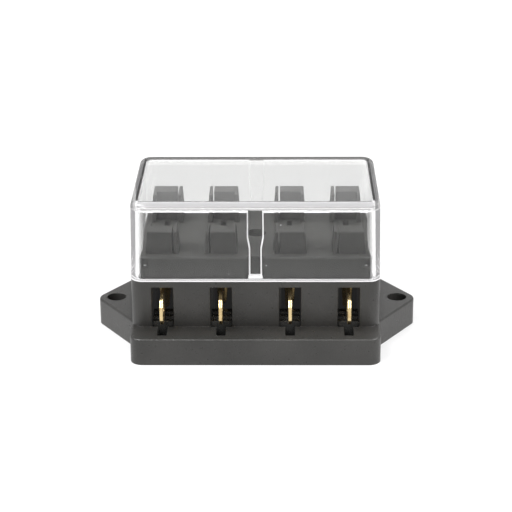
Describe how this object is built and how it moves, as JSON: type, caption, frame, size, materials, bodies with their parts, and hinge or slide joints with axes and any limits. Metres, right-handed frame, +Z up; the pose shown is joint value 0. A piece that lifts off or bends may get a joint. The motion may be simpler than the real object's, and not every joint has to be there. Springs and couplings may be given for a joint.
{
  "type": "blade fuse block",
  "caption": "Moulded block for blade fuses with push-on tabs front and rear, fixing ears and a clear lift-off cover.",
  "frame": {"origin": "centre of the underside, midway between the fixing holes", "axes": "+X along the row of circuits, -Y towards the front row of tabs, +Z up"},
  "size_m": [0.079, 0.0524, 0.0382],
  "materials": {
    "block_plastic": "fine satin",
    "plate_plastic": "fine satin",
    "clear_plastic": "clear gloss",
    "terminal_brass": "bright rolled sheet"
  },
  "bodies": {
    "block": {"housing": "block_plastic", "base_plate": "plate_plastic", "terminal_front_1": "terminal_brass", "terminal_front_2": "terminal_brass", "terminal_front_3": "terminal_brass", "terminal_front_4": "terminal_brass", "terminal_rear_1": "terminal_brass", "terminal_rear_2": "terminal_brass", "terminal_rear_3": "terminal_brass", "terminal_rear_4": "terminal_brass"},
    "cover": {"clear_cover": "clear_plastic"}
  },
  "joints": [
    {"name": "cover_lift", "type": "slide", "parent": "block", "child": "cover", "axis": [0, 0, 1], "range_m": [0, 0.025]}
  ]
}
